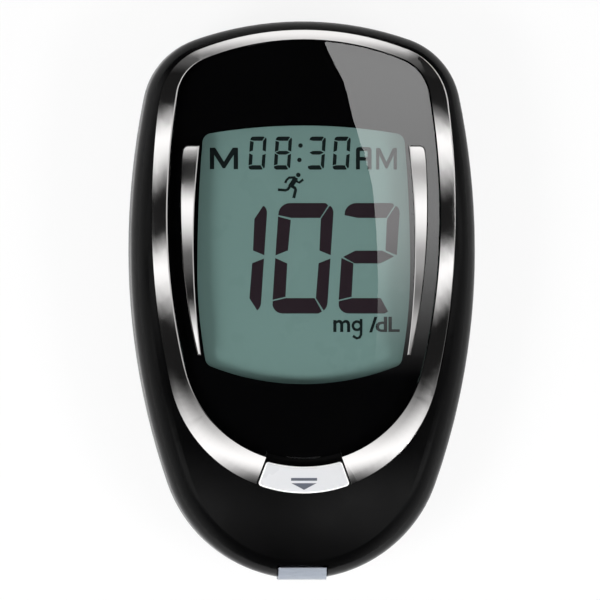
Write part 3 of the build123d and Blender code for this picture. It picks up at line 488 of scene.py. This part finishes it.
steep = 0.3
flat = 0.7
rim_depth = 0.5 * mm
top_depth = 0.6 * mm
lens_middle = 8 * mm
ring_gap = 8.5 * mm
ring_foot = -24 * mm
end_facing = 0.8


def on_rim(middle, normals):
    """At the open top of a wall, once the ring's old face is gone."""
    return (len(normals) == 1 and abs(normals[0].z) < steep
            and middle.z > crown(middle.x, middle.y) - rim_depth)


def faces_inwards(middle, normals):
    """On a wall that faces the middle of the lens."""
    wall = min(normals, key=lambda normal: abs(normal.z))
    return wall.x * middle.x + wall.y * (middle.y - lens_middle) < 0


def along_top(middle, normals):
    """Between a wall and the ring's new face."""
    levels = sorted(abs(normal.z) for normal in normals)
    return (len(levels) == 2 and levels[0] < steep and levels[1] > flat
            and middle.z > crown(middle.x, middle.y) - top_depth)


def ring_top_or_end(centre, normal):
    """On the ring's face, or on one of its two ends beside the release key."""
    at_end = abs(centre.x) < ring_gap and centre.y < ring_foot and abs(normal.x) > end_facing
    return normal.z > steep or (at_end and abs(normal.z) < steep)


ring_inner_rise = 0.45 * mm
ring_section_radius = 40 * mm
ring_edge = 0.2 * mm
ring = new_piece("bezel_ring_plate", "bezel_ring")
pick_faces(ring, ring_top_or_end)
bpy.ops.mesh.delete(type="FACE")
pick_edges(ring, lambda middle, normals: on_rim(middle, normals) and faces_inwards(middle, normals))
bpy.ops.transform.translate(value=(0.0, 0.0, ring_inner_rise))
pick_edges(ring, lambda middle, normals: on_rim(middle, normals)
           and not faces_inwards(middle, normals))
bpy.ops.object.mode_set(mode="OBJECT")
outer_rim = {point.index for point in ring.data.vertices if point.select}
pick_edges(ring, on_rim)
bpy.ops.object.mode_set(mode="OBJECT")
rims = [[], []]
for point in ring.data.vertices:
    if point.select:
        rims[point.index in outer_rim].append(point.co.copy())
old_points = len(ring.data.vertices)
bpy.ops.object.mode_set(mode="EDIT")
bpy.ops.mesh.bridge_edge_loops(number_cuts=3, interpolation="LINEAR")
bpy.ops.object.mode_set(mode="OBJECT")
nearest = []
for rim in rims:
    lookup = KDTree(len(rim))
    for i, place in enumerate(rim):
        lookup.insert(place, i)
    lookup.balance()
    nearest.append(lookup)
# The new face is bridged between the rims, and domed between them to a round section.
for point in ring.data.vertices[old_points:]:
    inwards, outwards = (lookup.find(point.co)[2] for lookup in nearest)
    point.co.z += inwards * outwards / (2 * ring_section_radius)
bpy.ops.object.mode_set(mode="EDIT")
bpy.ops.mesh.select_all(action="SELECT")
bpy.ops.mesh.fill_holes(sides=0)
bpy.ops.mesh.select_all(action="SELECT")
bpy.ops.mesh.normals_make_consistent(inside=False)
pick_edges(ring, along_top)
bpy.ops.object.mode_set(mode="OBJECT")
# The plating is buffed from one side, which leaves the edges on the right-hand side a little rounder.
walls = {}
for face in ring.data.polygons:
    if abs(face.normal.z) < steep:
        for key in face.edge_keys:
            walls[key] = face.normal.x
buffed = ring.data.attributes.new("bevel_weight_edge", "FLOAT", "EDGE")
for line in ring.data.edges:
    buffed.data[line.index].value = max(0.0, walls.get(line.key, 0.0)) ** 2 if line.select else 0.0
bevel = ring.modifiers.new("buffed_edge", "BEVEL")
bevel.limit_method = "WEIGHT"
bevel.width = ring_edge
bevel.segments = 1
deselect()
ring.select_set(True)
bpy.context.view_layer.objects.active = ring
bpy.ops.object.modifier_apply(modifier=bevel.name)
smooth(ring, 20)
satin_chrome = plastic("satin_chrome_plate", (0.60, 0.59, 0.585), 0.035, 0.055, grain=12.0,
                       depth=0.01, metallic=1.0)
dress(ring, "bezel_ring", "root", satin_chrome)

# ---------------------------------------------------------------------------------- accent strips
# Two plated crescents, pressed into the lens on both sides of the display. Their faces fall away
# from the display, like the ring's.
strip_slope = 0.27
strip_middle = 18.1 * mm
strip_seat = 0.3 * mm
strip_bow = 1.55 * mm
strip_widest = 11 * mm
strip_reach = 19.5 * mm
upper_bow_share = 0.12
for side in ("left", "right"):
    strip = new_piece("accent_crescent_" + side, "accent_strip_" + side)
    bpy.ops.object.mode_set(mode="OBJECT")
    for point in strip.data.vertices:
        x, y, z = point.co
        if z > crown(x, y) - strip_seat:
            bow = strip_bow * ((y - strip_widest) / strip_reach) ** 2
            if y >= strip_widest:
                bow *= upper_bow_share
            point.co.z += strip_slope * (strip_middle - bow - abs(x))
    smooth(strip, 30)
    dress(strip, "accent_strip_" + side, "root", satin_chrome)

# ---------------------------------------------------------------------------------- lens and mask
# A clear crowned window of hard-coated plastic, set inside the ring. The black round the display is a
# print behind it.
lens_index = 2.0
material, tree, output = new_material("clear_window")
pane = add(tree, "ShaderNodeBsdfTransparent")
shine = add(tree, "ShaderNodeBsdfGlossy")
shine.inputs["Roughness"].default_value = 0.0
gloss = add(tree, "ShaderNodeFresnel")
facing = add(tree, "ShaderNodeNewGeometry")
index = add(tree, "ShaderNodeMapRange")
index.inputs["To Min"].default_value = lens_index
index.inputs["To Max"].default_value = 1.0
tree.links.new(facing.outputs["Backfacing"], index.inputs["Value"])
tree.links.new(index.outputs["Result"], gloss.inputs["IOR"])
mix = add(tree, "ShaderNodeMixShader")
tree.links.new(gloss.outputs[0], mix.inputs["Fac"])
tree.links.new(pane.outputs[0], mix.inputs[1])
tree.links.new(shine.outputs[0], mix.inputs[2])
tree.links.new(mix.outputs[0], output.inputs["Surface"])
finish(material, "window_lens")
finish(plastic("black_print", (0.0015, 0.0015, 0.0017), 0.35, 0.45, depth=0.0, specular=0.0),
       "lens_mask")

# ---------------------------------------------------------------------------------- display
# A reflective segment display: grey-green glass in a frame over a foil reflector. Its segments are
# dark shapes in the glass, here a reading with its unit, the time and a running figure.
display_glass = plastic("display_glass", (0.148, 0.243, 0.226), 0.25, 0.35, depth=0.0, specular=0.1)
finish(display_glass, "lcd_cell")
segment_rise = 0.01 * mm
segment_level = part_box("lcd_cell")[1].z + segment_rise
segment_thickness = 0.02 * mm
digit_lean = 0.0667
pixel = mm / 6.382


def plate(name, outlines, left=0.0, foot=0.0, size=1.0, lean=0.0, height=segment_level):
    """A thin plate cut to those outlines, leaning to the right as it goes up."""
    drawn = bpy.data.curves.new(name, "CURVE")
    drawn.dimensions = "2D"
    drawn.fill_mode = "BOTH"
    drawn.extrude = segment_thickness / 2
    for outline in outlines:
        spline = drawn.splines.new("POLY")
        spline.points.add(len(outline) - 1)
        spline.use_cyclic_u = True
        for point, (x, y) in zip(spline.points, outline):
            point.co = ((left + size * (x + lean * y)) * pixel, (foot + size * y) * pixel, 0.0, 1.0)
    return laid_flat(drawn, name, height)


def laid_flat(drawn, name, height):
    """Turns a flat curve or text into a mesh piece at that height."""
    deselect()
    piece = bpy.data.objects.new(name, drawn)
    scene.collection.objects.link(piece)
    bpy.context.view_layer.objects.active = piece
    piece.select_set(True)
    bpy.ops.object.convert(target="MESH")
    piece = bpy.context.object
    piece.location.z = height
    bpy.ops.object.transform_apply(location=True, rotation=True, scale=True)
    bpy.ops.object.mode_set(mode="EDIT")
    bpy.ops.mesh.select_all(action="SELECT")
    bpy.ops.mesh.remove_doubles(threshold=merge_distance)
    bpy.ops.mesh.normals_make_consistent(inside=False)
    bpy.ops.object.mode_set(mode="OBJECT")
    return piece


def joined(name, pieces, body, material):
    """One piece out of several, riding on a body."""
    deselect()
    for piece in pieces:
        piece.select_set(True)
    bpy.context.view_layer.objects.active = pieces[0]
    bpy.ops.object.join()
    piece = bpy.context.object
    piece.name = name
    piece.data.materials.clear()
    piece.data.materials.append(material)
    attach(piece, body)
    return piece


def arc(x, y, radius, start, end, steps=5):
    """Points on an arc, in degrees."""
    turns = [radians(start + (end - start) * i / steps) for i in range(steps + 1)]
    return [(x + radius * cos(turn), y + radius * sin(turn)) for turn in turns]


# The seven segments of one digit, 55 wide and 110 high, with mitred gaps between them.
segments = {
    "a": [(0.2, 98.2), *arc(11, 99.3, 11, 165, 90), (46.8, 110.3), (49.4, 107.9), (42.2, 95.4),
          (13.4, 95.4)],
    "b": [(50.6, 107.2), *arc(45.2, 99.8, 10, 48, 0), (55.2, 58.2), (43.6, 62.9), (42.9, 94.4)],
    "c": [(55.2, 54.9), *arc(45.2, 10.5, 10, 0, -48), (43.2, 15.2), (43.6, 50.2)],
    "d": [(0.2, 12.3), *arc(11, 11, 11, 195, 270), (46.9, 0.0), (50.2, 2.0), (42.0, 15.4),
          (13.1, 15.4)],
    "e": [(0.0, 55.4), (12.4, 50.0), (12.8, 16.7), (0.0, 13.7)],
    "f": [(0.0, 96.8), (13.0, 93.4), (12.2, 63.0), (0.0, 58.0)],
    "g": [(1.6, 56.6), (13.4, 62.8), (40.4, 62.8), (52.6, 57.0), (38.9, 50.0), (13.4, 50.0)],
}
lit = {"0": "abcdef", "1": "bc", "2": "abged", "3": "abgcd", "8": "abcdefg"}
# Places on the display count in pixels of the front view, to the right and down. These two are the
# meter's middle.
display_middle = 303.4
display_zero = 300.6


def digit(name, sign, left, foot, size, tighten=1.0):
    """One digit, its lower left corner at that place of the display."""
    outlines = []
    for key in lit[sign]:
        outline = segments[key]
        middle_x = sum(x for x, _ in outline) / len(outline)
        middle_y = sum(y for _, y in outline) / len(outline)
        outlines.append([(middle_x + (x - middle_x) * tighten, middle_y + (y - middle_y) * tighten)
                         for x, y in outline])
    return plate(name, outlines, left - display_middle, display_zero - foot, size, digit_lean)


segment_dark = plastic("segment_dark", (0.020, 0.013, 0.017), 0.3, 0.4, depth=0.0, specular=0.1)
segment_small = plastic("segment_small", (0.005, 0.009, 0.009), 0.3, 0.4, depth=0.0, specular=0.1)
reading_foot = 313.5
reading_places = (("1", 205.5), ("0", 271.9), ("2", 338.0))
joined("display_reading", [digit("reading_" + sign, sign, left, reading_foot, 1.0)
                           for sign, left in reading_places],
       "root", segment_dark)
clock_foot = 170.0
clock_places = (("0", 248.4), ("8", 273.8), ("3", 307.6), ("0", 332.4))
colon_places = ((300.8, 145.8), (299.7, 160.2))
clock_size = 0.301
clock_tightening = 0.95
dot_radius = 2.3
clock = [digit("clock_%d" % i, sign, left, clock_foot, clock_size, clock_tightening)
         for i, (sign, left) in enumerate(clock_places)]
for x, y in colon_places:
    clock.append(plate("colon", [arc(0, 0, dot_radius, 0, 330, 11)], x - display_middle,
                       display_zero - y))
joined("display_clock", clock, "root", segment_small)

letter_m = [[(0, 0), (0, 21.5), (5.4, 21.5), (14.1, 7.6), (22.8, 21.5), (28.2, 21.5), (28.2, 0),
             (23.8, 0), (23.8, 14.2), (15.2, 0.9), (13.0, 0.9), (4.4, 14.2), (4.4, 0)]]
letter_a = [[(0, 0), (0, 19.4), *arc(3, 19.4, 3, 180, 90, 3), *arc(12.6, 19.4, 3, 90, 0, 3),
             (15.6, 0), (11.6, 0), (11.6, 8.8), (4, 8.8), (4, 0)],
            [(4, 12.6), (11.6, 12.6), (11.6, 18.4), (4, 18.4)]]
first_m_left, a_left, second_m_left = 210.2, 356.2, 376.3
first_m_foot, am_foot = 169.5, 169.7
narrowing = 0.74
narrow_m = [[(x * narrowing, y) for x, y in letter_m[0]]]
letters = [plate("m_left", letter_m, first_m_left - display_middle, display_zero - first_m_foot),
           plate("letter_a", letter_a, a_left - display_middle, display_zero - am_foot),
           plate("m_right", narrow_m, second_m_left - display_middle, display_zero - am_foot)]
capital_share = 0.73


def written(name, words, left, foot, tall, bold, wide=1.0):
    """Plain lettering, its lower left corner at that place of the display."""
    drawn = bpy.data.curves.new(name, "FONT")
    drawn.body = words
    drawn.size = tall * pixel / capital_share
    drawn.offset = bold * pixel
    drawn.resolution_u = 3
    drawn.extrude = segment_thickness / 2
    piece = laid_flat(drawn, name, segment_level)
    corner = ((left - display_middle) * pixel, (display_zero - foot) * pixel, 0.0)
    piece.data.transform(Matrix.Translation(corner) @ Matrix.Diagonal((wide, 1.0, 1.0, 1.0)))
    return piece


def band(name, points, width, left, foot, height):
    """A band along its points, its lower left corner at that place of the display."""
    outline, back = [], []
    for i, (x, y) in enumerate(points):
        before, after = points[max(i - 1, 0)], points[min(i + 1, len(points) - 1)]
        dx, dy = after[0] - before[0], after[1] - before[1]
        away = width / 2 / hypot(dx, dy)
        outline.append((x - dy * away, y + dx * away))
        back.append((x + dy * away, y - dx * away))
    return plate(name, [outline + back[::-1]], left - display_middle, display_zero - foot,
                 height=height)


# Bands that cross lie a hair above each other, so no two faces share a plane.
hair = 0.002 * mm
small_m_left, g_left, stroke_left, d_left, l_left = 332.6, 351.9, 370.0, 375.3, 387.3
unit_foot, stroke_foot = 331.5, 331.7
tail_width = 2.7
tail = ((9.5, 12.6), (9.5, 6.0), (9.4, -3.0), (8.0, -5.8), (5.2, -6.8), (1.2, -4.4))
letters.append(written("letter_m", "m", small_m_left, unit_foot, tall=17.8, bold=0.5))
letters.append(plate("letter_g", [arc(5.4, 5.8, 5.5, 0, 345, 23), arc(5.4, 5.8, 2.8, 0, 345, 23)],
                     g_left - display_middle, display_zero - unit_foot))
letters.append(band("tail_of_g", tail, tail_width, g_left, unit_foot, segment_level + hair))
letters.append(written("stroke", "/", stroke_left, stroke_foot, tall=15.2, bold=0.5, wide=1.2))
letters.append(written("letter_d", "d", d_left, unit_foot, tall=15.4, bold=0.45, wide=1.22))
letters.append(written("letter_l", "L", l_left, unit_foot, tall=15.4, bold=0.4, wide=1.2))
joined("display_letters", letters, "root", segment_small)

figure = (("torso", ((18.4, 20.8), (16.2, 16.6), (12.6, 11.4)), 5.0),
          ("arm_front", ((17.6, 20.2), (19.4, 16.8), (21.6, 15.6), (25.8, 18.8)), 2.4),
          ("arm_back", ((18.0, 20.8), (11.6, 20.6), (9.2, 18.4), (7.6, 15.2)), 2.4),
          ("leg_front", ((13.4, 12.6), (17.6, 10.2), (18.2, 8.6), (16.2, 0.2)), 3.0),
          ("leg_back", ((12.8, 12.6), (10.2, 8.8), (8.0, 8.0), (0.4, 8.6)), 2.7))
runner_left = 277.8
runner_foot = 198.5
runner = [band(name, points, width, runner_left, runner_foot, segment_level + hair * i)
          for i, (name, points, width) in enumerate(figure)]
runner.append(plate("head", [arc(20.8, 23.3, dot_radius, 0, 330, 11)], runner_left - display_middle,
                    display_zero - runner_foot))
joined("display_runner", runner, "root", segment_small)

finish(plastic("reflector_foil", (0.6, 0.62, 0.58), 0.3, 0.4, depth=0.05, specular=0.5),
       "lcd_reflector")
finish(plastic("frame_plastic", (0.03, 0.03, 0.03), 0.4, 0.5), "display_frame")
finish(plastic("elastomer", (0.25, 0.25, 0.26), 0.6, 0.7, grain=20.0), "lcd_connector")

# ---------------------------------------------------------------------------------- release key
# A plastic key in the gap of the ring, lacquered silver, its bevelled edges coloured near white as a
# painted highlight. A bar and an arrow are printed on it in grey: it slides that way to push the strip
# out.
lacquer_tone = (0.59, 0.595, 0.61)
# Near white for the painted highlight on the key's bevels.
edge_highlight_tone = (0.95, 0.95, 0.95)
lacquer = plastic("silver_lacquer", lacquer_tone, 0.25, 0.32, grain=14.0, depth=0.05)
tree = lacquer.node_tree
edge_highlight_node = add(tree, "ShaderNodeAttribute", attribute_name="painted_edge_highlight")
tone = add(tree, "ShaderNodeMix", data_type="RGBA")
tone.inputs["A"].default_value = (*lacquer_tone, 1.0)
tone.inputs["B"].default_value = (*edge_highlight_tone, 1.0)
tree.links.new(edge_highlight_node.outputs["Fac"], tone.inputs["Factor"])
tree.links.new(tone.outputs["Result"], tree.nodes["Principled BSDF"].inputs["Base Color"])
key_face = 0.93
release_key = new_piece("release_key", "release_button")
bpy.ops.object.mode_set(mode="OBJECT")
# The bevels between the key's face and its sides get the painted highlight colour.
polished = release_key.data.attributes.new("painted_edge_highlight", "FLOAT", "FACE")
for face in release_key.data.polygons:
    polished.data[face.index].value = 1.0 if steep < face.normal.z < key_face else 0.0
smooth(release_key, 30)
dress(release_key, "release_button", "release_slide", lacquer)
# The marks are drawn flat and then laid on the key's face.
mark_rise = 0.01 * mm
above_all = 50 * mm
bar_middle, arrow_base = 478.8, 482.6
marks = joined("key_marks",
               [plate("bar", [[(-13, -1.4), (13, -1.4), (13, 1.4), (-13, 1.4)]], 0.0,
                      display_zero - bar_middle, height=0.0),
                plate("arrow", [[(-12.6, 0), (0, -6.7), (12.6, 0)]], 0.0, display_zero - arrow_base,
                      height=0.0)],
               "release_slide",
               plastic("mark_grey", (0.082, 0.092, 0.115), 0.3, 0.4, depth=0.05))
for point in marks.data.vertices:
    place = release_key.ray_cast((point.co.x, point.co.y, above_all), (0.0, 0.0, -1.0))[1]
    point.co.z = place.z + (mark_rise if point.co.z > 0.0 else -mark_rise)

# ---------------------------------------------------------------------------------- ejector springs
# Two coil springs of nickel-plated wire push the release key back. Each stands between a post of the
# front shell and the far end of its window in the ejector, which squeezes it as the key travels; here
# they keep their modelled shape.
springs = new_piece("ejector_coils", "ejector_springs")
bpy.ops.object.mode_set(mode="OBJECT")
smooth(springs, 60)
nickel_spring = plastic("nickel_spring", (0.62, 0.62, 0.63), 0.25, 0.35, depth=0.05, metallic=1.0)
dress(springs, "ejector_springs", "root", nickel_spring)
# They lie along the slope of the nose, as the key slides.
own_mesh(springs)

# ---------------------------------------------------------------------------------- strip port
# A pale grey piece of moulded plastic in the bottom end, with the slot that takes the test strip. A
# fine gap shows round it at its sides and along its upper edge.
port_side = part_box("port_bezel")[1].x
port_upper_edge = -41.55 * mm
port_gap = 0.09 * mm
port_groove = 0.25 * mm
close_to = 0.01 * mm
port = new_piece("strip_port", "port_bezel")
bpy.ops.object.mode_set(mode="OBJECT")
for point in port.data.vertices:
    if abs(point.co.x) > port_side - close_to:
        point.co.x -= port_gap if point.co.x > 0.0 else -port_gap
    if abs(point.co.y - port_upper_edge) < close_to:
        point.co.y -= port_groove
smooth(port, 40)
dress(port, "port_bezel", "root",
      plastic("port_plastic", (0.27, 0.295, 0.34), 0.35, 0.45, specular=0.3))

# ---------------------------------------------------------------------------------- side keys
# Three keys in the right-hand side, each in its own opening and on its own switch. They are moulded in
# black plastic, with a smoother face than the housing.
finish(plastic("side_key_black", (0.006, 0.006, 0.007), 0.22, 0.3, depth=0.1, specular=0.5),
       "side_key_up", "side_key_set", "side_key_down")

# ---------------------------------------------------------------------------------- back
# A blank plastic plate, and four zinc-plated screws that hold the shells together. Behind the door a
# nickel-plated coin cell lies between two nickel-plated contacts. Gold-plated springs touch the test
# strip in its connector.
finish(plastic("label_film", (0.55, 0.56, 0.57), 0.4, 0.5, grain=5.0, depth=0.1), "rear_label")
finish(plastic("zinc_plate", (0.42, 0.42, 0.44), 0.3, 0.42, grain=6.0, depth=0.1, metallic=1.0),
       "case_screws")
finish(plastic("nickel_can", (0.68, 0.68, 0.69), 0.22, 0.32, grain=6.0, depth=0.05, metallic=1.0),
       "coin_cell")
finish(nickel_spring, "battery_contact_positive", "battery_contact_negative")
finish(plastic("gold_plate", (0.85, 0.62, 0.25), 0.2, 0.3, depth=0.05, metallic=1.0),
       "strip_contacts")

# ---------------------------------------------------------------------------------- board
# A glass-fibre board under green solder mask, with its black moulded parts soldered on. The ejector
# and the switches' plungers are moulded in natural acetal.
finish(plastic("solder_mask", (0.02, 0.16, 0.06), 0.3, 0.4, grain=3.0, depth=0.1), "main_board")
finish(plastic("moulded_component", (0.02, 0.02, 0.022), 0.4, 0.5, grain=16.0),
       "board_components", "buzzer", "side_switches", "strip_connector")
finish(plastic("natural_acetal", (0.75, 0.75, 0.73), 0.35, 0.45, grain=10.0, depth=0.1),
       "ejector_slide", "switch_plunger_up", "switch_plunger_set", "switch_plunger_down")
